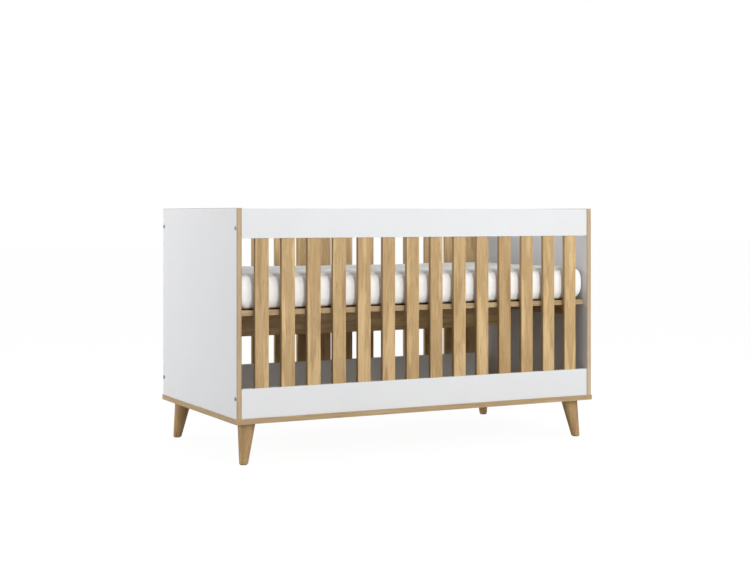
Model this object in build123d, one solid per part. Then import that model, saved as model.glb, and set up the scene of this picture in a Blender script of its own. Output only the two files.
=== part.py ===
from build123d import *
import os

# A baby crib: white end panels and rails, wooden slats, a wooden base board on four splayed legs,
# a lift-out mattress platform on two ledgers, and a mattress. Millimetres, +Z up, +X along the crib,
# +Y towards its back. The origin is on the floor, under the middle of the crib.

# ---- driving dimensions -------------------------------------------------------------------------
board = 18.0              # thickness of every flat board
band = 1.0                # thickness of the edge bands
inside_length = 1404.0    # between the end panels, for a mattress of 1400 x 700
body_depth = 750.0        # front edge to back edge of an end panel
panel_height = 706.0
base_overhang = 3.0       # the base board stands out this far past the body, all round
leg_height = 141.0        # floor to the underside of the base board

rail_height = 100.0
rail_recess = 1.5         # rails lie this far behind the end panels' edges
top_rail_drop = 2.0       # top rails lie this far below the end panels' tops

slat_count = 14
slat_width = 50.0
slat_thickness = 15.0
slat_gap = 46.5
slat_rounding = 1.5
rail_rounding = 0.8
band_rounding = 0.5
strip_rounding = 1.0      # on the beam and the ledgers

leg_top_radius = 30.8
leg_foot_radius = 14.8
leg_top_inset = 59.0      # from the body's corner to the leg's centre, along X and along Y
leg_foot_inset = 41.0
leg_foot_chamfer = 1.2
glide_height = 2.5
glide_radius = 12.0

platform_drop = 345.0     # from the end panels' tops to the platform's upper face
platform_play = 1.0       # gap between the platform and what surrounds it
beam_height = 100.0
beam_inset = 105.0        # from the end panel to the end of the beam
ledger_height = 45.0
ledger_length = 550.0
ledger_bolt_spacing = 300.0
level_step = 115.0        # from one row of ledger inserts to the next
level_count = 3

mattress_length = 1399.0
mattress_depth = 704.0
mattress_height = 120.0
mattress_corner = 32.0    # radius seen from above
mattress_rounding = 31.0  # radius of the upper and lower edges
mattress_play = 0.3       # gap under the mattress
cover_thickness = 1.5

# ---- fasteners ----------------------------------------------------------------------------------
play = 0.05               # radial clearance of a fastener in its hole
dowel_radius = 4.0
dowel_length = 30.0
dowel_spare = 1.0         # a dowel's hole is this much deeper than the dowel, at each end
dowel_in_panel = 11.0
bolt_radius = 3.0
bolt_length = 50.0
bolt_offset = 67.5        # from the panel's top, or from the base board, to a rail bolt
rail_dowel_offset = 32.0  # the same, for the dowel beside it
bolt_head_radius = 6.75
bolt_head_height = 2.0
bolt_head_rounding = 1.2
hex_across = 4.0
hex_depth = 1.4
nut_radius = 5.0
nut_length = 14.0
nut_setback = 26.0        # from the rail's end to the barrel nut's axis
screw_radius = 2.5
screw_shank_radius = 3.5
screw_head_radius = 5.0
screw_length = 50.0
leg_bolt_radius = 4.0
leg_bolt_in_leg = 40.0
tee_flange_radius = 11.0
tee_flange_thickness = 1.5
tee_barrel_radius = 5.0
tee_barrel_length = 12.0
small_screw_radius = 2.0
small_screw_head_radius = 4.0
leg_screw_length = 40.0
leg_screw_offset = 17.0
beam_screw_length = 45.0
beam_screw_count = 5
ledger_bolt_length = 30.0
ledger_bolt_head_radius = 6.0
ledger_bolt_head_height = 3.0
insert_radius = 5.0
insert_length = 13.0

# ---- levels and faces worked out from them ------------------------------------------------------
base_bottom = leg_height
base_top = base_bottom + board
panel_top = base_top + panel_height
panel_inner = inside_length / 2
panel_outer = panel_inner + board
side_outer = body_depth / 2 - rail_recess      # outer face of a rail
side_inner = side_outer - board                # inner face of a rail
side_middle = side_outer - board / 2           # middle of a rail's thickness
top_rail_top = panel_top - top_rail_drop
top_rail_bottom = top_rail_top - rail_height
bottom_rail_top = base_top + rail_height
slat_pitch = slat_width + slat_gap
slat_places = [slat_pitch * (i - (slat_count - 1) / 2) for i in range(slat_count)]
platform_top = panel_top - platform_drop
platform_bottom = platform_top - board
ledger_middle = platform_bottom - ledger_height / 2
mattress_bottom = platform_top + mattress_play
joint_levels = {                               # the two rail levels: bolt height, dowel height
    "top": (panel_top - bolt_offset, panel_top - rail_dowel_offset),
    "bottom": (base_top + bolt_offset, base_top + rail_dowel_offset),
}
panel_screw_places = [-300.0, 0.0, 300.0]      # along Y, under an end panel
rail_screw_places = [-550.0, -180.0, 180.0, 550.0]  # along X, under a bottom rail

outward = {"left": -1, "right": 1, "front": -1, "back": 1}
up, down = (0, 0, 1), (0, 0, -1)


# ---- shapes that repeat -------------------------------------------------------------------------
def block(x, y, z):
    """A rectangular board between three pairs of limits."""
    middle = [(limits[0] + limits[1]) / 2 for limits in (x, y, z)]
    size = [abs(limits[1] - limits[0]) for limits in (x, y, z)]
    return Pos(*middle) * Box(*size)


def rod(radius, length, start, direction):
    """A round bar that starts at a point and runs along a direction."""
    on_floor = Cylinder(radius, length, align=(Align.CENTER, Align.CENTER, Align.MIN))
    return Plane(origin=start, z_dir=direction) * on_floor


def taper(start_radius, end_radius, length, start, direction):
    """A cone frustum that starts at a point and runs along a direction."""
    on_floor = Cone(start_radius, end_radius, length, align=(Align.CENTER, Align.CENTER, Align.MIN))
    return Plane(origin=start, z_dir=direction) * on_floor


def shifted(point, direction, distance):
    return tuple(p + d * distance for p, d in zip(point, direction))


def countersunk(radius, head_radius, length, start, direction, shank_radius=None, shank=0.0, grow=0.0):
    """A screw with a countersunk head flush at its start. grow makes its clearance hole instead."""
    head = taper(head_radius + grow, radius + grow, head_radius - radius, start, direction)
    screw = head + rod(radius + grow, length + grow, start, direction)
    if shank_radius:
        screw += rod(shank_radius + grow, shank, start, direction)
    return screw


def eased(board_solid, axes, radius):
    """The board with its edges along these axes rounded."""
    edges = [edge for axis in axes for edge in board_solid.edges().filter_by(axis)]
    return fillet(edges, radius)


def band_around(x, y, z):
    """A flat ring of edge band around a board that lies between these outer limits."""
    inner_x = (x[0] + band, x[1] - band)
    inner_y = (y[0] + band, y[1] - band)
    return eased(block(x, y, z), (Axis.X, Axis.Y, Axis.Z), band_rounding) - block(inner_x, inner_y, z)


def write(name, *solids):
    """One STEP file: a single solid, or a group of separate solids."""
    shape = solids[0] if len(solids) == 1 else Compound(children=list(solids))
    export_step(shape, f"parts/{name}.step")


# ---- end panels ---------------------------------------------------------------------------------
def rail_bolt_axes(end):
    """Where the rail bolts pass an end panel: side, level name and point on the outer face."""
    for side in ("front", "back"):
        for level, (bolt_z, _) in joint_levels.items():
            yield side, level, (outward[end] * panel_outer, outward[side] * side_middle, bolt_z)


def insert_points(end):
    """Mouths of the threaded inserts, on an end panel's inner face, highest row first."""
    for level in range(level_count):
        for y in (-ledger_bolt_spacing / 2, ledger_bolt_spacing / 2):
            yield (outward[end] * panel_inner, y, ledger_middle - level * level_step)


def base_screw(point, grow=0.0):
    return countersunk(screw_radius, screw_head_radius, screw_length, point, up,
                       screw_shank_radius, board, grow)


def end_panel(end):
    way = outward[end]
    depth = body_depth / 2 - band
    panel = block((way * panel_inner, way * panel_outer), (-depth, depth), (base_top, panel_top - band))
    inward = (-way, 0, 0)
    for side, level, point in rail_bolt_axes(end):
        panel -= rod(bolt_radius + play, board, point, inward)
        dowel_point = (way * panel_inner, point[1], joint_levels[level][1])
        panel -= rod(dowel_radius + play, dowel_in_panel + dowel_spare, dowel_point, (way, 0, 0))
    for point in insert_points(end):
        panel -= rod(insert_radius + play, insert_length, point, (way, 0, 0))
    for y in panel_screw_places:
        panel -= base_screw((way * (panel_inner + board / 2), y, base_bottom), play)
    return panel


def panel_edge_band(end):
    """The band on an end panel's front, top and back edges."""
    way = outward[end]
    x = (way * panel_inner, way * panel_outer)
    outer = body_depth / 2
    whole = block(x, (-outer, outer), (base_top, panel_top))
    below = whole.edges().group_by(Axis.Z)[0]
    whole = fillet(whole.edges() - below, band_rounding)
    return whole - block(x, (band - outer, outer - band), (base_top, panel_top - band))


# ---- front and back sides -----------------------------------------------------------------------
def side_rail(side, level):
    """A rail with its slat dowel holes, and a bolt hole, nut hole and dowel hole at each end."""
    way = outward[side]
    bottom = top_rail_bottom if level == "top" else base_top
    rail = block((-panel_inner, panel_inner), (way * side_inner, way * side_outer),
                 (bottom, bottom + rail_height))
    rail = eased(rail, (Axis.X,), rail_rounding)
    slat_face = top_rail_bottom if level == "top" else bottom_rail_top
    into = up if level == "top" else down
    for x in slat_places:
        hole_depth = dowel_length / 2 + dowel_spare
        rail -= rod(dowel_radius + play, hole_depth, (x, way * side_middle, slat_face), into)
    bolt_z, dowel_z = joint_levels[level]
    for end in ("left", "right"):
        out = outward[end]
        inward = (-out, 0, 0)
        rail -= rod(bolt_radius + play, bolt_length - board + dowel_spare,
                    (out * panel_inner, way * side_middle, bolt_z), inward)
        rail -= rod(dowel_radius + play, dowel_length - dowel_in_panel + dowel_spare,
                    (out * panel_inner, way * side_middle, dowel_z), inward)
        rail -= rod(nut_radius + play, nut_length,
                    (out * (panel_inner - nut_setback), way * side_inner, bolt_z), (0, way, 0))
    if level == "bottom":
        for x in rail_screw_places:
            rail -= base_screw((x, way * side_middle, base_bottom), play)
    return rail


def slat(side, x):
    y = outward[side] * side_middle
    bar = block((x - slat_width / 2, x + slat_width / 2), (y - slat_thickness / 2, y + slat_thickness / 2),
                (bottom_rail_top, top_rail_bottom))
    bar = eased(bar, (Axis.Z,), slat_rounding)
    hole_depth = dowel_length / 2 + dowel_spare
    bar -= rod(dowel_radius + play, hole_depth, (x, y, bottom_rail_top), up)
    bar -= rod(dowel_radius + play, hole_depth, (x, y, top_rail_bottom), down)
    return bar


def slat_dowels():
    for side in ("front", "back"):
        for x in slat_places:
            for face in (bottom_rail_top, top_rail_bottom):
                start = (x, outward[side] * side_middle, face - dowel_length / 2)
                yield rod(dowel_radius, dowel_length, start, up)


def rail_dowels():
    for end in ("left", "right"):
        way = outward[end]
        for side in ("front", "back"):
            for _, dowel_z in joint_levels.values():
                start = (way * (panel_inner + dowel_in_panel), outward[side] * side_middle, dowel_z)
                yield rod(dowel_radius, dowel_length, start, (-way, 0, 0))


def rail_bolts():
    """Connector bolts with a low domed head and a hexagon socket."""
    for end in ("left", "right"):
        way = outward[end]
        for _, _, point in rail_bolt_axes(end):
            head = rod(bolt_head_radius, bolt_head_height, point, (way, 0, 0))
            rim = head.edges().filter_by(GeomType.CIRCLE).sort_by(Axis.X)[-1 if way > 0 else 0]
            head = fillet(rim, bolt_head_rounding)
            tip = shifted(point, (way, 0, 0), bolt_head_height)
            socket = extrude(Plane(origin=tip, z_dir=(-way, 0, 0))
                             * RegularPolygon(hex_across / 2, 6, major_radius=False), hex_depth)
            yield head + rod(bolt_radius, bolt_length, point, (-way, 0, 0)) - socket


def barrel_nuts():
    for end in ("left", "right"):
        out = outward[end]
        for side in ("front", "back"):
            way = outward[side]
            for bolt_z, _ in joint_levels.values():
                x = out * (panel_inner - nut_setback)
                nut = rod(nut_radius, nut_length, (x, way * side_inner, bolt_z), (0, way, 0))
                thread = rod(bolt_radius + play, 4 * nut_radius,
                             (x - 2 * nut_radius, way * side_middle, bolt_z), (1, 0, 0))
                yield nut - thread


# ---- base board, legs and glides ----------------------------------------------------------------
base_x = panel_outer + base_overhang
base_y = body_depth / 2 + base_overhang
corners = {f"{side}_{end}": (outward[end], outward[side])
           for side in ("front", "back") for end in ("left", "right")}


def base_screw_points():
    for way in (-1, 1):
        for y in panel_screw_places:
            yield (way * (panel_inner + board / 2), y, base_bottom)
        for x in rail_screw_places:
            yield (x, way * side_middle, base_bottom)


def leg_centre(corner, inset):
    way_x, way_y = corners[corner]
    return way_x * (panel_outer - inset), way_y * (body_depth / 2 - inset)


def leg_screw_points(corner):
    x, y = leg_centre(corner, leg_top_inset)
    for step in (-leg_screw_offset, leg_screw_offset):
        yield (x + step, y, base_top)


def leg_screw(point, grow=0.0):
    return countersunk(small_screw_radius, small_screw_head_radius, leg_screw_length, point, down,
                       grow=grow)


def base_board():
    inner_x, inner_y = base_x - band, base_y - band
    panel = block((-inner_x, inner_x), (-inner_y, inner_y), (base_bottom, base_top))
    for point in base_screw_points():
        panel -= base_screw(point, play)
    for corner in corners:
        x, y = leg_centre(corner, leg_top_inset)
        panel -= rod(tee_flange_radius + play, tee_flange_thickness, (x, y, base_top), down)
        panel -= rod(tee_barrel_radius + play, tee_barrel_length, (x, y, base_top), down)
        panel -= rod(leg_bolt_radius + play, board, (x, y, base_top), down)
        for point in leg_screw_points(corner):
            panel -= leg_screw(point, play)
    return panel


def leg(corner):
    """A round tapered leg, leaning out to its corner and cut level at the top and at the foot."""
    top = Vector(*leg_centre(corner, leg_top_inset), base_bottom)
    foot = Vector(*leg_centre(corner, leg_foot_inset), 0)
    axis = (top - foot).normalized()
    spare = 0.2                                  # share of the length added past each end
    length = (top - foot).length
    widening = leg_top_radius - leg_foot_radius
    start = foot - axis * length * spare
    cone = taper(leg_foot_radius - widening * spare, leg_top_radius + widening * spare,
                 length * (1 + 2 * spare), tuple(start), tuple(axis))
    reach = 2 * leg_top_radius
    slab = block((top.X - reach, top.X + reach), (top.Y - reach, top.Y + reach),
                 (glide_height, base_bottom))
    turned = cone & slab
    sole = turned.faces().sort_by(Axis.Z)[0]
    turned = chamfer(sole.edges(), leg_foot_chamfer)
    turned -= rod(leg_bolt_radius + play, leg_bolt_in_leg + dowel_spare, tuple(top), down)
    for point in leg_screw_points(corner):
        turned -= leg_screw(point, play)
    return turned


def leg_bolts():
    """Hanger bolts: half in the leg, half up through the base board into a tee nut."""
    for corner in corners:
        x, y = leg_centre(corner, leg_top_inset)
        length = leg_bolt_in_leg + board - tee_flange_thickness
        yield rod(leg_bolt_radius, length, (x, y, base_bottom - leg_bolt_in_leg), up)


def tee_nuts():
    for corner in corners:
        x, y = leg_centre(corner, leg_top_inset)
        nut = rod(tee_flange_radius, tee_flange_thickness, (x, y, base_top), down)
        nut += rod(tee_barrel_radius, tee_barrel_length, (x, y, base_top), down)
        yield nut - rod(leg_bolt_radius + play, board, (x, y, base_top), down)


def foot_glides():
    for corner in corners:
        yield rod(glide_radius, glide_height, (*leg_centre(corner, leg_foot_inset), 0), up)


# ---- ledgers, platform and mattress -------------------------------------------------------------
def ledger_bolt_points(end):
    """Where the ledger bolts pass a ledger's inner face."""
    for y in (-ledger_bolt_spacing / 2, ledger_bolt_spacing / 2):
        yield (outward[end] * (panel_inner - board), y, ledger_middle)


def ledger(end):
    way = outward[end]
    strip = block((way * (panel_inner - board), way * panel_inner), (-ledger_length / 2, ledger_length / 2),
                  (platform_bottom - ledger_height, platform_bottom))
    strip = eased(strip, (Axis.Y,), strip_rounding)
    for point in ledger_bolt_points(end):
        strip -= rod(bolt_radius + play, board, point, (way, 0, 0))
    return strip


def ledger_bolts():
    for end in ("left", "right"):
        way = outward[end]
        for point in ledger_bolt_points(end):
            shank = rod(bolt_radius, ledger_bolt_length, point, (way, 0, 0))
            head = rod(ledger_bolt_head_radius, ledger_bolt_head_height, point, (-way, 0, 0))
            yield head + shank


def threaded_inserts():
    for end in ("left", "right"):
        way = outward[end]
        for point in insert_points(end):
            sleeve = rod(insert_radius, insert_length, point, (way, 0, 0))
            yield sleeve - rod(bolt_radius + play, insert_length, point, (way, 0, 0))


platform_x = panel_inner - platform_play
platform_y = side_inner - platform_play
beam_x = panel_inner - beam_inset


def beam_screw_points():
    step = 2 * beam_x / beam_screw_count
    for i in range(beam_screw_count):
        yield (step * (i - (beam_screw_count - 1) / 2), 0, platform_top)


def beam_screw(point, grow=0.0):
    return countersunk(small_screw_radius, small_screw_head_radius, beam_screw_length, point, down,
                       grow=grow)


def platform_board():
    inner_x, inner_y = platform_x - band, platform_y - band
    panel = block((-inner_x, inner_x), (-inner_y, inner_y), (platform_bottom, platform_top))
    for point in beam_screw_points():
        panel -= beam_screw(point, play)
    return panel


def platform_beam():
    beam = block((-beam_x, beam_x), (-board / 2, board / 2), (platform_bottom - beam_height, platform_bottom))
    beam = eased(beam, (Axis.X,), strip_rounding)
    for point in beam_screw_points():
        beam -= beam_screw(point, play)
    return beam


def cushion(inset):
    """The mattress's rounded block, drawn in by an inset on every side."""
    height = mattress_height - 2 * inset
    outline = RectangleRounded(mattress_length - 2 * inset, mattress_depth - 2 * inset,
                               mattress_corner - inset)
    body = extrude(Pos(0, 0, mattress_bottom + inset) * outline, height)
    rims = body.faces().sort_by(Axis.Z)[-1].edges() + body.faces().sort_by(Axis.Z)[0].edges()
    return fillet(rims, mattress_rounding - inset)


# ---- write every piece --------------------------------------------------------------------------
os.makedirs("parts", exist_ok=True)

for end in ("left", "right"):
    write(f"{end}_end_panel", end_panel(end))
    write(f"{end}_ledger", ledger(end))
write("panel_edge_bands", panel_edge_band("left"), panel_edge_band("right"))

for side in ("front", "back"):
    for level in ("top", "bottom"):
        write(f"{side}_{level}_rail", side_rail(side, level))
    for number, x in enumerate(slat_places, start=1):
        write(f"{side}_slat_{number:02d}", slat(side, x))

write("slat_dowels", *slat_dowels())
write("rail_dowels", *rail_dowels())
write("rail_bolts", *rail_bolts())
write("barrel_nuts", *barrel_nuts())

write("base_board", base_board())
write("base_edge_band", band_around((-base_x, base_x), (-base_y, base_y), (base_bottom, base_top)))
write("base_screws", *[base_screw(point) for point in base_screw_points()])

for corner in corners:
    write(f"{corner}_leg", leg(corner))
write("leg_bolts", *leg_bolts())
write("leg_tee_nuts", *tee_nuts())
write("leg_screws", *[leg_screw(point) for corner in corners for point in leg_screw_points(corner)])
write("foot_glides", *foot_glides())

write("ledger_bolts", *ledger_bolts())
write("threaded_inserts", *threaded_inserts())

write("platform_board", platform_board())
write("platform_edge_band", band_around((-platform_x, platform_x), (-platform_y, platform_y),
                                        (platform_bottom, platform_top)))
write("platform_beam", platform_beam())
write("beam_screws", *[beam_screw(point) for point in beam_screw_points()])

foam = cushion(cover_thickness)
write("mattress_core", foam)
write("mattress_cover", cushion(0) - foam)
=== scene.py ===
import bpy
import bmesh
import math
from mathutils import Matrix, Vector, noise


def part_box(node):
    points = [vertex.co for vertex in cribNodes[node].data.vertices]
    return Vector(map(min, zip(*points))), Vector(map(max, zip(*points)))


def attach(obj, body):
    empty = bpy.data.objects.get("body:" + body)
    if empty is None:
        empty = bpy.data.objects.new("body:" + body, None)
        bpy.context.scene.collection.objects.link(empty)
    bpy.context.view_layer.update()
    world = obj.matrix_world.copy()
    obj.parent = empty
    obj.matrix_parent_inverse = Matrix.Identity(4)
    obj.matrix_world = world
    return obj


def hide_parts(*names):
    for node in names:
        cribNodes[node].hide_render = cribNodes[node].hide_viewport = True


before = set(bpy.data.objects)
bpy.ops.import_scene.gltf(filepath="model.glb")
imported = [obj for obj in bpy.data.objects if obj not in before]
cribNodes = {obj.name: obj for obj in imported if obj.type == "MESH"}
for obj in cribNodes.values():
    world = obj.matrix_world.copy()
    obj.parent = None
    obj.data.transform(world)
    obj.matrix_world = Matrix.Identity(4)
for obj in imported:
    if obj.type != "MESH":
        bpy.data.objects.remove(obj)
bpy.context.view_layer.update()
bpy.ops.object.select_all(action="DESELECT")
print("crib frame loaded,", len(cribNodes), "nodes")


# helpers for shader trees
def newMaterial(name):
    material = bpy.data.materials.new(name)
    material.use_nodes = True
    material.node_tree.nodes.clear()
    return material, material.node_tree


def addNode(tree, kind, sockets=None, **options):
    # sockets maps an input's name or number to a value, or to the output that feeds it
    made = tree.nodes.new("ShaderNode" + kind)
    for name, value in options.items():
        setattr(made, name, value)
    for name, value in (sockets or {}).items():
        if isinstance(value, bpy.types.NodeSocket):
            tree.links.new(value, made.inputs[name])
        else:
            made.inputs[name].default_value = value
    return made


def mixColour(tree, factor, first, second):
    made = addNode(tree, "Mix", {0: factor}, data_type="RGBA")
    for number, value in ((6, first), (7, second)):
        if isinstance(value, bpy.types.NodeSocket):
            tree.links.new(value, made.inputs[number])
        else:
            made.inputs[number].default_value = (*value, 1)
    return made.outputs[2]


def mixValue(tree, factor, first, second):
    made = addNode(tree, "Mix", {0: factor, 2: first, 3: second}, data_type="FLOAT")
    return made.outputs[0]


def mathNode(tree, operation, *values, clamp=False):
    made = addNode(tree, "Math", dict(enumerate(values)), operation=operation)
    made.use_clamp = clamp
    return made.outputs[0]


def mapRange(tree, value, fromRange, toRange=(0.0, 1.0)):
    made = addNode(tree, "MapRange", {0: value, 1: fromRange[0], 2: fromRange[1],
                                      3: toRange[0], 4: toRange[1]},
                   interpolation_type="SMOOTHSTEP")
    return made.outputs[0]


def objectPlace(tree):
    return addNode(tree, "TexCoord").outputs["Object"]


def noiseTexture(tree, place, scale, detail, **more):
    return addNode(tree, "TexNoise", dict(Vector=place, Scale=scale, Detail=detail, **more))


socketNames = {"specular": "Specular IOR Level", "metallic": "Metallic",
               "sheen": "Sheen Weight", "sheenRoughness": "Sheen Roughness"}


def closeMaterial(material, tree, colour, roughness, height, look, **more):
    # bump, shader and output, which every finish of the crib ends with
    bump = addNode(tree, "Bump", {"Strength": look["bumpStrength"], "Distance": look["bumpDepth"],
                                  "Height": height})
    shader = addNode(tree, "BsdfPrincipled", {"Base Color": colour, "Roughness": roughness,
                                              "Normal": bump.outputs[0]})
    for name, value in more.items():
        shader.inputs[socketNames[name]].default_value = value
    addNode(tree, "OutputMaterial", {"Surface": shader.outputs[0]})
    return material


def dress(names, material):
    # gives the named CAD nodes one material all over
    for name in names:
        mesh = cribNodes[name].data
        mesh.materials.clear()
        mesh.materials.append(material)


# stage: floor, daylight, lamps and camera
stageLook = {
    "floorSize": 60.0,
    "floorSeen": 0.955,           # how white the studio floor looks by itself
    "floorShade": 0.06,           # how much of the shadow on it shows
    "floorBounce": 0.62,
    "frontSky": 0.48,             # brightness of the room in front of the crib
    "sideSky": 0.62,
    "backSky": 0.80,
    "topSky": 0.59,
    "frontReach": (-0.95, -0.2),  # where the front turns into the sides, on a unit sphere
    "backReach": (0.2, 0.9),
    "topReach": (0.25, 0.8),
}
studioLamps = [
    # name, place, diameter, power, and the point that it is turned to
    ("softKey", (0.6, -4.9, 2.2), 1.1, 70.0, (0, 0, 0.5)),
    ("lowKey", (0.2, -5.3, 0.8), 1.1, 42.0, (0, 0, 0.5)),   # reaches in under the platform
    ("highFill", (2.2, -3.5, 2.5), 1.0, 44.0, (0.3, 0, 0.6)),
    ("sideFill", (-3.4, 1.7, 1.3), 1.1, 60.5, (-0.72, 0, 0.5)),
]
cameraLook = {
    "place": (-2.4775, -4.7882, 0.8423),
    "turn": 27.28,                # degrees from +Y towards +X
    "lens": 68.13,
    "rise": -0.1051,              # lens shift that keeps uprights upright
}


def buildFloor(look):
    bpy.ops.mesh.primitive_plane_add(size=look["floorSize"], location=(0, 0, 0))
    floor = bpy.context.active_object
    floor.name = "studioFloor"
    material, tree = newMaterial("paleFloor")
    glow = addNode(tree, "Emission", {0: (1, 1, 1, 1), 1: look["floorSeen"]})
    shade = addNode(tree, "BsdfDiffuse", {0: [look["floorShade"]] * 3 + [1]})
    seen = addNode(tree, "AddShader", {0: glow.outputs[0], 1: shade.outputs[0]})
    bounce = addNode(tree, "BsdfDiffuse", {0: [look["floorBounce"]] * 3 + [1]})
    direct = addNode(tree, "LightPath").outputs["Is Camera Ray"]
    both = addNode(tree, "MixShader", {0: direct, 1: bounce.outputs[0], 2: seen.outputs[0]})
    addNode(tree, "OutputMaterial", {"Surface": both.outputs[0]})
    floor.data.materials.append(material)


def buildSky(look):
    world = bpy.data.worlds.new("studio")
    bpy.context.scene.world = world
    world.use_nodes = True
    tree = world.node_tree
    tree.nodes.clear()
    towards = addNode(tree, "SeparateXYZ", {0: addNode(tree, "TexCoord").outputs["Generated"]})
    level = mapRange(tree, towards.outputs[1], look["frontReach"],
                     (look["frontSky"], look["sideSky"]))
    level = mixValue(tree, mapRange(tree, towards.outputs[1], look["backReach"]),
                     level, look["backSky"])
    level = mixValue(tree, mapRange(tree, towards.outputs[2], look["topReach"]),
                     level, look["topSky"])
    direct = addNode(tree, "LightPath").outputs["Is Camera Ray"]
    level = mixValue(tree, direct, level, 1.0)
    sky = addNode(tree, "Background", {"Color": (1, 1, 1, 1), "Strength": level})
    addNode(tree, "OutputWorld", {"Surface": sky.outputs[0]})


def buildLamp(name, place, size, power, target):
    bpy.ops.object.light_add(type="AREA", location=place)
    lamp = bpy.context.active_object
    lamp.name = name
    lamp.data.shape = "DISK"
    lamp.data.size = size
    lamp.data.energy = power
    lamp.visible_camera = False
    aim = Vector(target) - lamp.location
    lamp.rotation_euler = aim.to_track_quat("-Z", "Y").to_euler()


def buildCamera(look):
    level = math.radians(90)
    bpy.ops.object.camera_add(location=look["place"],
                              rotation=(level, 0, -math.radians(look["turn"])))
    camera = bpy.context.active_object
    camera.name = "cribCamera"
    camera.data.lens = look["lens"]
    camera.data.shift_y = look["rise"]
    camera.data.dof.use_dof = False
    bpy.context.scene.camera = camera


bpy.context.scene.view_settings.view_transform = "Standard"
buildFloor(stageLook)
buildSky(stageLook)
for lamp in studioLamps:
    buildLamp(*lamp)
buildCamera(cameraLook)
print("stage and camera ready")


# oak-look finishes
oakLook = {
    "pale": (0.615, 0.435, 0.215),
    "deep": (0.318, 0.193, 0.077),
    "line": (0.22, 0.12, 0.052),
    "wanderScale": 7.0,           # slow bends of the grain
    "wanderReach": 0.012,
    "streakSize": 26.0,           # streaks to the metre, across the grain
    "streakPull": 0.09,           # how much slower they change along it
    "streakWarp": 0.25,
    "streakRange": (0.30, 0.72),
    "streakShare": 0.62,
    "ringCount": 4.5,             # growth lines over the streak noise's whole range
    "ringRange": (-0.2, 1.0),
    "ringShare": 0.27,
    "fleckSize": 210.0,
    "fleckPull": 0.06,
    "fleckRange": (0.50, 0.72),
    "fleckShare": 0.46,
    "fibreSize": 950.0,
    "fibreShare": 0.26,
    "fibreHeight": 0.35,
    "shadeShift": -0.13,          # keeps the mean tone where it is without the fibres
    "toneStep": 0.0965,           # one tone for each slat of this pitch
    "toneShare": 0.26,
    "backSeed": 31.7,             # sets the back row's tones apart from the front row's
    "paintedFootShade": 0.15,            # painted shade: the lower ends of the slats are a little darker
    "footReach": 0.2,
    "paintedSideShade": 0.38,            # painted shade: narrow slat sides are darker than the faces
    "paintedEndShadow": 0.85,             # painted shadow: dark line where a slat meets its top rail
    "endReach": 0.0025,
    "rimShade": 0.7,              # glue lines on both sides of an edge band
    "rimReach": (0.004, 0.0005),
    "roughness": (0.44, 0.60),
    "bumpStrength": 0.5,
    "bumpDepth": 0.0003,
}


def facing(tree, axis):
    normal = addNode(tree, "NewGeometry").outputs["True Normal"]
    part = addNode(tree, "SeparateXYZ", {0: normal}).outputs[axis]
    return mathNode(tree, "GREATER_THAN", mathNode(tree, "ABSOLUTE", part), 0.7)


def grainCoords(tree, look, along, alongOnSides=None, sideAxis=0):
    # Object coordinates squeezed along the grain. Where a band turns a corner, the faces that
    # look along sideAxis take their grain from the other direction.
    place = objectPlace(tree)
    wander = noiseTexture(tree, place, look["wanderScale"], 2.0).outputs[1]
    centred = addNode(tree, "VectorMath", {0: wander, 1: (0.5, 0.5, 0.5)},
                      operation="SUBTRACT").outputs[0]
    reach = [look["wanderReach"]] * 3
    bent = addNode(tree, "VectorMath", {0: centred, 1: reach, 2: place},
                   operation="MULTIPLY_ADD").outputs[0]

    def squeezed(axis, amount):
        scale = [1.0, 1.0, 1.0]
        scale[axis] = amount
        return addNode(tree, "Mapping", {0: bent, 3: scale}).outputs[0]

    def chosen(amount):
        first = squeezed(along, amount)
        if alongOnSides is None:
            return first
        sockets = {0: facing(tree, sideAxis), 4: first, 5: squeezed(alongOnSides, amount)}
        return addNode(tree, "Mix", sockets, data_type="VECTOR").outputs[1]

    return place, chosen(look["streakPull"]), chosen(look["fleckPull"])


def slatToneAndFootShade(tree, look, parts):
    # each slat was cut from another board, so each has a tone of its own; painted shade darkens
    # its lower end as well
    row = mathNode(tree, "MULTIPLY", mathNode(tree, "SIGN", parts.outputs[1]), look["backSeed"])
    step = mathNode(tree, "DIVIDE", parts.outputs[0], look["toneStep"])
    seed = mathNode(tree, "ADD", mathNode(tree, "FLOOR", step), row)
    tone = addNode(tree, "TexWhiteNoise", {1: seed}, noise_dimensions="1D").outputs[0]
    tone = mathNode(tree, "MULTIPLY", mathNode(tree, "SUBTRACT", tone, 0.5), look["toneShare"])
    # painted shade: darker towards the lower end of each slat
    foot = mapRange(tree, parts.outputs[2],
                    (look["slatFoot"], look["slatFoot"] + look["footReach"]),
                    (look["paintedFootShade"], 0.0))
    return mathNode(tree, "ADD", tone, foot)


def slatPaintedShade(tree, look, parts):
    # painted shade on the narrow slat sides, and a painted shadow line under the top rail
    sideShade = mathNode(tree, "MULTIPLY", facing(tree, 0), look["paintedSideShade"])
    # painted shadow just under the top rail
    fromTop = mathNode(tree, "SUBTRACT", look["slatTop"], parts.outputs[2])
    endShadow = mapRange(tree, fromTop, (0.0, look["endReach"]), (look["paintedEndShadow"], 0.0))
    return mathNode(tree, "MAXIMUM", sideShade, endShadow)


def bandRims(tree, look, parts):
    # the glue lines on both sides of the band are a little browner than its middle
    outwards = mathNode(tree, "ABSOLUTE", parts.outputs[0])
    off = mathNode(tree, "ABSOLUTE", mathNode(tree, "SUBTRACT", outwards, look["bandMiddle"]))
    start, full = (look["bandHalf"] - reach for reach in look["rimReach"])
    return mapRange(tree, off, (start, full), (0.0, look["rimShade"]))


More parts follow.
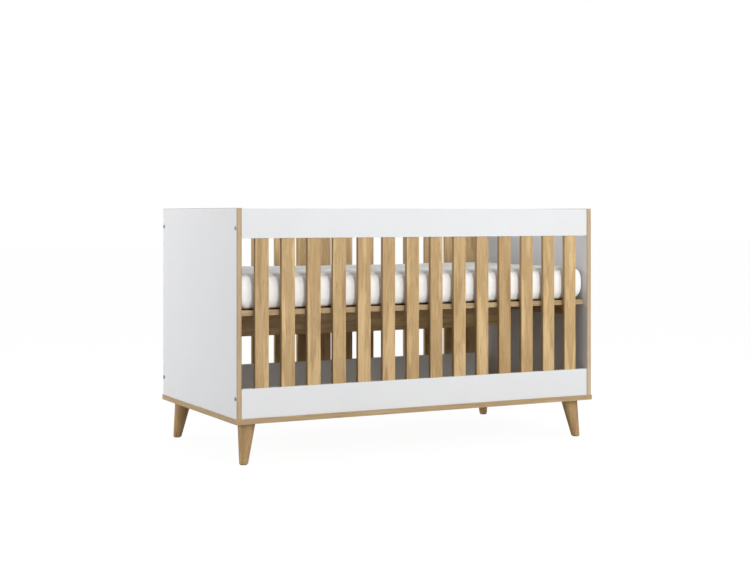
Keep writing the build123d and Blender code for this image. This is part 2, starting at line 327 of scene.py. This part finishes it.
def oakMaterial(name, look, along, slats=False, bandEdges=False, **grain):
    material, tree = newMaterial(name)
    place, long, short = grainCoords(tree, look, along, **grain)

    streaks = noiseTexture(tree, long, look["streakSize"], 3.0,
                           Roughness=0.5, Distortion=look["streakWarp"]).outputs[0]
    turns = mathNode(tree, "MULTIPLY", streaks, look["ringCount"] * 2 * math.pi)
    rings = mapRange(tree, mathNode(tree, "SINE", turns), look["ringRange"])
    flecks = noiseTexture(tree, short, look["fleckSize"], 3.0, Roughness=0.6).outputs[0]
    flecks = mapRange(tree, flecks, look["fleckRange"])
    fibres = noiseTexture(tree, short, look["fibreSize"], 2.0).outputs[0]

    shade = mathNode(tree, "MULTIPLY_ADD", rings, look["ringShare"],
                     mapRange(tree, streaks, look["streakRange"], (0.0, look["streakShare"])))
    shade = mathNode(tree, "MULTIPLY_ADD", fibres, look["fibreShare"],
                     mathNode(tree, "ADD", shade, look["shadeShift"]))
    parts = addNode(tree, "SeparateXYZ", {0: place})
    if slats:
        # each slat's own tone, and painted shade at its lower end
        shade = mathNode(tree, "ADD", shade, slatToneAndFootShade(tree, look, parts))
    shade = mathNode(tree, "ADD", shade, 0.0, clamp=True)
    colour = mixColour(tree, shade, look["pale"], look["deep"])
    flecked = mathNode(tree, "MULTIPLY", flecks, look["fleckShare"])
    colour = mixColour(tree, flecked, colour, look["line"])
    if slats:
        # painted shade on the slat sides and a painted shadow line under the top rail
        colour = mixColour(tree, slatPaintedShade(tree, look, parts), colour, look["line"])
    if bandEdges:
        colour = mixColour(tree, bandRims(tree, look, parts), colour, look["line"])

    roughness = mapRange(tree, fibres, (0.3, 0.7), look["roughness"])
    height = mathNode(tree, "MULTIPLY_ADD", flecks, -1.0,
                      mathNode(tree, "MULTIPLY", fibres, look["fibreHeight"]))
    return closeMaterial(material, tree, colour, roughness, height, look, specular=0.35)


def dressWood():
    slats = [name for name in cribNodes if "_slat_" in name]
    foot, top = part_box(slats[0])
    slatLook = dict(oakLook, slatFoot=foot.z, slatTop=top.z)
    dress(slats, oakMaterial("slatOak", slatLook, along=2, slats=True))

    legs = [name for name in cribNodes if name.endswith("_leg")]
    legLook = dict(oakLook, pale=(0.50, 0.335, 0.16), deep=(0.30, 0.17, 0.07), streakSize=40.0)
    dress(legs, oakMaterial("legOak", legLook, along=2))

    low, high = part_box("right_end_panel")
    bandLook = dict(oakLook, pale=(0.53, 0.40, 0.24), deep=(0.39, 0.26, 0.135), fleckShare=0.3,
                    bandMiddle=(low.x + high.x) / 2, bandHalf=(high.x - low.x) / 2)
    dress(["panel_edge_bands"],
          oakMaterial("panelBandOak", bandLook, along=2, alongOnSides=1, sideAxis=2,
                      bandEdges=True))
    rimLook = dict(oakLook, pale=(0.46, 0.335, 0.19), deep=(0.32, 0.21, 0.10))
    dress(["base_edge_band", "platform_edge_band"],
          oakMaterial("boardBandOak", rimLook, along=0, alongOnSides=1, sideAxis=0))

    dress(["base_board", "platform_board", "platform_beam"],
          oakMaterial("boardOak", oakLook, along=0))
    dress(["left_ledger", "right_ledger"], oakMaterial("ledgerOak", oakLook, along=1))
    beechLook = dict(oakLook, pale=(0.72, 0.56, 0.38), deep=(0.60, 0.42, 0.25), ringShare=0.12)
    dress(["slat_dowels"], oakMaterial("dowelBeech", beechLook, along=2))
    dress(["rail_dowels"], oakMaterial("railDowelBeech", beechLook, along=0))


dressWood()
print("wood finished")


# white boards
whiteLook = {
    "colour": (0.675, 0.68, 0.69),
    "shadeColour": (0.66, 0.665, 0.675),
    "cloudScale": 5.0,
    "roughness": (0.40, 0.48),
    "peelScale": 380.0,           # the faint orange peel of the white coating
    "bumpStrength": 0.35,
    "bumpDepth": 0.00012,
}


def whiteMaterial(name, look):
    material, tree = newMaterial(name)
    place = objectPlace(tree)
    clouds = noiseTexture(tree, place, look["cloudScale"], 3.0).outputs[0]
    peel = noiseTexture(tree, place, look["peelScale"], 2.0).outputs[0]
    cloudy = mapRange(tree, clouds, (0.3, 0.7))
    colour = mixColour(tree, cloudy, look["colour"], look["shadeColour"])
    roughness = mapRange(tree, clouds, (0.3, 0.7), look["roughness"])
    return closeMaterial(material, tree, colour, roughness, peel, look, specular=0.35)


dress(["left_end_panel", "right_end_panel", "front_top_rail", "front_bottom_rail",
       "back_top_rail", "back_bottom_rail"], whiteMaterial("whiteLaminate", whiteLook))
print("white boards finished")


# metal fittings and glides
metalLook = {
    "boltColour": (0.30, 0.31, 0.33),
    "zincColour": (0.55, 0.56, 0.57),
    "wornShade": 0.72,
    "stainScale": 220.0,
    "roughness": (0.28, 0.44),
    "grainScale": 1400.0,
    "grainPull": 0.15,
    "bumpStrength": 0.4,
    "bumpDepth": 0.00008,
}
glideLook = {
    "colour": (0.12, 0.105, 0.09),
    "paleShade": 1.8,
    "fuzzScale": 900.0,
    "bumpStrength": 0.8,
    "bumpDepth": 0.0006,
}


def metalMaterial(name, colour, look):
    material, tree = newMaterial(name)
    place = objectPlace(tree)
    pulled = addNode(tree, "Mapping", {0: place, 3: (1.0, 1.0, look["grainPull"])}).outputs[0]
    grain = noiseTexture(tree, pulled, look["grainScale"], 3.0).outputs[0]
    stain = noiseTexture(tree, place, look["stainScale"], 2.0).outputs[0]
    worn = mixColour(tree, mapRange(tree, stain, (0.35, 0.75)), colour,
                     [channel * look["wornShade"] for channel in colour])
    roughness = mapRange(tree, grain, (0.3, 0.7), look["roughness"])
    return closeMaterial(material, tree, worn, roughness, grain, look, metallic=1.0)


def glideMaterial(look):
    material, tree = newMaterial("glideFelt")
    fuzz = noiseTexture(tree, objectPlace(tree), look["fuzzScale"], 4.0).outputs[0]
    paler = [channel * look["paleShade"] for channel in look["colour"]]
    colour = mixColour(tree, fuzz, look["colour"], paler)
    return closeMaterial(material, tree, colour, 0.95, fuzz, look, specular=0.2)


dress(["rail_bolts", "ledger_bolts"],
      metalMaterial("darkBoltSteel", metalLook["boltColour"], metalLook))
dress(["barrel_nuts", "base_screws", "leg_bolts", "leg_tee_nuts", "leg_screws", "beam_screws",
       "threaded_inserts"], metalMaterial("zincSteel", metalLook["zincColour"], metalLook))
dress(["foot_glides"], glideMaterial(glideLook))
print("metal and glides finished")


# mattress in its fitted cover
mattressLook = {
    "slack": 0.003,               # the start shape is this much smaller than its space
    "cornerRadius": 0.012,
    "rimRadius": 0.018,
    "bevelSteps": 7,
    "cell": 0.010,
    "sidePull": 0.015,            # top and bottom edges are drawn in this far from the belly
    "bellyPower": 2.8,
    "topRise": 0.002,
    "pressure": 4.0,
    "extraCloth": -0.03,          # negative shrink: the cover is cut a little too large
    "stiffness": 0.2,
    "pinned": 0.008,              # the underside is held up to this height
    "steps": 20,
    "cap": 0.005,
}
foldLook = {
    "ripple": 0.0022,
    "topReach": 0.035,            # folds start this far under the top, and are full after topFade
    "topFade": 0.025,
    "still": 0.010,               # no folds below this height above the platform
    "slantAlong": 4.0,
    "slantAcross": 18.0,
    "slantLean": 0.35,
    "slantShare": 0.6,
    "tuckScale": (24.0, 24.0, 8.0),
    "tuckShare": 0.35,
    "swayScale": 2.3,
    "fadeScale": 1.9,
    "fadeLevel": 0.55,
    "fadeGain": 1.5,
    "bankShare": 0.4,             # low banks of cloth on both sides of a fold
    "bankPlace": 2.0,
}
# the seam round the top edge, and the long folds in the cover: distance from the front edge,
# how far they wander, depth, half width
# the seam's crease value is the painted shade along its bottom
coverSeam = {"inset": 0.026, "depth": 0.0048, "width": 0.0060, "creaseShade": 0.7}
coverFolds = [(0.055, 0.012, 0.0055, 0.0070), (0.120, 0.022, 0.0070, 0.0085),
              (0.250, 0.030, 0.0040, 0.0090), (0.480, 0.030, 0.0040, 0.0090),
              (0.620, 0.020, 0.0045, 0.0080)]
cottonLook = {
    "colour": (0.865, 0.854, 0.836),
    "foldColour": (0.83, 0.82, 0.805),
    "creaseShadeColour": (0.50, 0.50, 0.50),
    "creaseShadeShare": 0.6,
    "softScale": 35.0,
    "weaveScale": 1100.0 / 6.28,
    "weaveWarp": 0.6,
    "weaveHeight": 0.4,
    "bumpStrength": 0.35,
    "bumpDepth": 0.0015,
}


def mattressBlock(look):
    low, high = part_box("mattress_cover")
    bpy.ops.mesh.primitive_cube_add(size=1, location=(low + high) / 2,
                                    scale=[length - 2 * look["slack"] for length in high - low])
    block = bpy.context.active_object
    block.name = "mattress"
    bpy.ops.object.transform_apply(location=True, rotation=True, scale=True)

    def bevelWhere(test, radius):
        bpy.ops.object.mode_set(mode="EDIT")
        bpy.ops.mesh.select_mode(type="EDGE")
        bpy.ops.mesh.select_all(action="DESELECT")
        mesh = bmesh.from_edit_mesh(block.data)
        for edge in mesh.edges:
            edge.select_set(test(edge))
        bmesh.update_edit_mesh(block.data)
        bpy.ops.mesh.bevel(offset=radius, segments=look["bevelSteps"], profile=0.5,
                           affect="EDGES")
        bpy.ops.object.mode_set(mode="OBJECT")

    def isUpright(edge):
        one, other = (vertex.co for vertex in edge.verts)
        return abs(one.z - other.z) > 0.05

    def isRim(edge):
        flat = [abs(face.normal.z) > 0.9 for face in edge.link_faces]
        return len(flat) == 2 and flat[0] != flat[1]

    bevelWhere(isUpright, look["cornerRadius"])
    bevelWhere(isRim, look["rimRadius"])
    return block, low, high


def evenCells(piece, size):
    remesh = piece.modifiers.new("evenCells", "REMESH")
    remesh.mode = "VOXEL"
    remesh.voxel_size = size
    bpy.ops.object.modifier_apply(modifier=remesh.name)


def reshape(piece, places):
    piece.data.vertices.foreach_set("co", places)
    piece.data.update()


def roundBelly(piece, look, low, high):
    # the sides bulge at half height and the top is slightly domed, as on a stuffed mattress
    centre, half = (low + high) / 2, (high - low) / 2
    shaped = []
    for vertex in piece.data.vertices:
        off = vertex.co - centre
        level = min(abs(off.z / half.z), 1.0) ** look["bellyPower"]
        across, along = min(abs(off.x / half.x), 1.0), min(abs(off.y / half.y), 1.0)
        dome = look["topRise"] * (1 - across ** 6) * (1 - along ** 4) if off.z > 0 else 0.0
        shaped.extend((centre.x + off.x * (1 - look["sidePull"] * level / half.x),
                       centre.y + off.y * (1 - look["sidePull"] * level / half.y),
                       vertex.co.z + dome))
    reshape(piece, shaped)


def puffUp(piece, look, low):
    start = [vertex.co.copy() for vertex in piece.data.vertices]
    pinned = piece.vertex_groups.new(name="underside")
    held = [vertex.index for vertex in piece.data.vertices if vertex.co.z < low.z + look["pinned"]]
    pinned.add(held, 1.0, "REPLACE")
    cloth = piece.modifiers.new("cover", "CLOTH")
    settings = cloth.settings
    settings.use_pressure = True
    settings.uniform_pressure_force = look["pressure"]
    settings.effector_weights.gravity = 0
    settings.shrink_min = look["extraCloth"]
    settings.vertex_group_mass = "underside"
    settings.bending_stiffness = look["stiffness"]
    cloth.point_cache.frame_start = 1
    cloth.point_cache.frame_end = look["steps"]
    for step in range(1, look["steps"] + 1):
        bpy.context.scene.frame_set(step)
    bpy.ops.object.modifier_apply(modifier=cloth.name)
    bpy.context.scene.frame_set(1)
    capped = []
    for vertex, before in zip(piece.data.vertices, start):
        move = vertex.co - before
        if move.length > look["cap"]:
            move = move.normalized() * look["cap"]
        capped.extend(before + move)
    reshape(piece, capped)


def fillBox(piece, low, high):
    # the belly reaches the sides of its space, and no further
    middle, half = (low + high) / 2, (high - low) / 2
    reach = [max(abs(vertex.co[axis] - middle[axis]) for vertex in piece.data.vertices)
             for axis in (0, 1)]
    shaped = []
    for vertex in piece.data.vertices:
        shaped.extend((middle.x + (vertex.co.x - middle.x) * half.x / reach[0],
                       middle.y + (vertex.co.y - middle.y) * half.y / reach[1], vertex.co.z))
    reshape(piece, shaped)
    print("mattress top at", round(max(shaped[2::3]), 4))


def longFolds(co, look, over, low):
    # how deep the long folds are here, and how much painted shade lies in them
    sunk, creaseShade = 0.0, 0.0
    for place, sway, depth, width in coverFolds:
        wander = noise.noise(Vector((co.x * look["swayScale"], place * 50, 0)))
        off = (co.y - (low.y + place + sway * wander)) / width
        comeAndGo = noise.noise(Vector((co.x * look["fadeScale"], place * 90, 5)))
        fade = min(max(look["fadeLevel"] + look["fadeGain"] * comeAndGo, 0.0), 1.0)
        bank = look["bankShare"] * math.exp(-(abs(off) - look["bankPlace"]) ** 2)
        sunk += over * fade * depth * (math.exp(-off * off) - bank)
        creaseShade = max(creaseShade, over * fade * math.exp(-2 * off * off))
    return sunk, creaseShade


def foldCover(piece, look, low, high):
    before = [(vertex.co.copy(), vertex.normal.copy()) for vertex in piece.data.vertices]
    folded, creaseShades = [], []
    for co, normal in before:
        over = min(max((co.z - (high.z - look["topReach"])) / look["topFade"], 0.0), 1.0)
        slant = noise.noise(Vector(((co.x + co.y) * look["slantAlong"],
                                    (co.y - look["slantLean"] * co.x) * look["slantAcross"], 9.0)))
        tuck = noise.noise(co * Vector(look["tuckScale"]))
        lift = look["ripple"] * (over * slant * look["slantShare"] + look["tuckShare"] * tuck)
        sunk, creaseShade = longFolds(co, look, over, low)
        lift -= sunk
        inward = min(high.x - abs(co.x), high.y - abs(co.y))
        beside = (inward - coverSeam["inset"]) / coverSeam["width"]
        if co.z > (low.z + high.z) / 2:
            lift -= coverSeam["depth"] * math.exp(-beside * beside) * (0.8 + 0.5 * slant)
            creaseShade = max(creaseShade, coverSeam["creaseShade"] * math.exp(-2 * beside * beside))
        if co.z < low.z + look["still"]:
            lift = 0.0
        folded.extend(co + normal * lift)
        creaseShades.append(creaseShade)
    # painted shade along the bottoms of the folds and the seam, stored on the mesh for the cover's
    # colour
    creases = piece.data.attributes.new("creasePaintedShade", "FLOAT", "POINT")
    creases.data.foreach_set("value", creaseShades)
    reshape(piece, folded)


def mattressPiece(look):
    piece, low, high = mattressBlock(look)
    evenCells(piece, look["cell"])
    roundBelly(piece, look, low, high)
    puffUp(piece, look, low)
    fillBox(piece, low, high)
    finer = piece.modifiers.new("finer", "SUBSURF")
    finer.levels = finer.render_levels = 1
    bpy.ops.object.modifier_apply(modifier=finer.name)
    foldCover(piece, foldLook, low, high)
    bpy.ops.object.shade_smooth()
    return piece


def coverMaterial(look):
    material, tree = newMaterial("coverCotton")
    place = objectPlace(tree)

    def threads(axis):
        return addNode(tree, "TexWave", {"Vector": place, "Scale": look["weaveScale"],
                                         "Distortion": look["weaveWarp"]},
                       bands_direction=axis).outputs[1]

    weave = mathNode(tree, "MULTIPLY", threads("X"), threads("Y"))
    weave = mathNode(tree, "MULTIPLY", weave, threads("Z"))
    soft = noiseTexture(tree, place, look["softScale"], 4.0).outputs[0]
    uneven = mapRange(tree, soft, (0.3, 0.7))
    colour = mixColour(tree, uneven, look["colour"], look["foldColour"])
    # painted shade: the cover is greyed along the bottoms of its folds and seam
    creaseShade = addNode(tree, "Attribute", attribute_name="creasePaintedShade").outputs["Fac"]
    sunk = mathNode(tree, "MULTIPLY", creaseShade, look["creaseShadeShare"])
    colour = mixColour(tree, sunk, colour, look["creaseShadeColour"])
    height = mathNode(tree, "MULTIPLY_ADD", weave, look["weaveHeight"], soft)
    return closeMaterial(material, tree, colour, 0.88, height, look,
                         specular=0.25, sheen=0.25, sheenRoughness=0.5)


mattress = mattressPiece(mattressLook)
mattress.data.materials.append(coverMaterial(cottonLook))
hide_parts("mattress_core", "mattress_cover")
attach(mattress, "mattress")
print("mattress ready,", len(mattress.data.polygons), "faces")
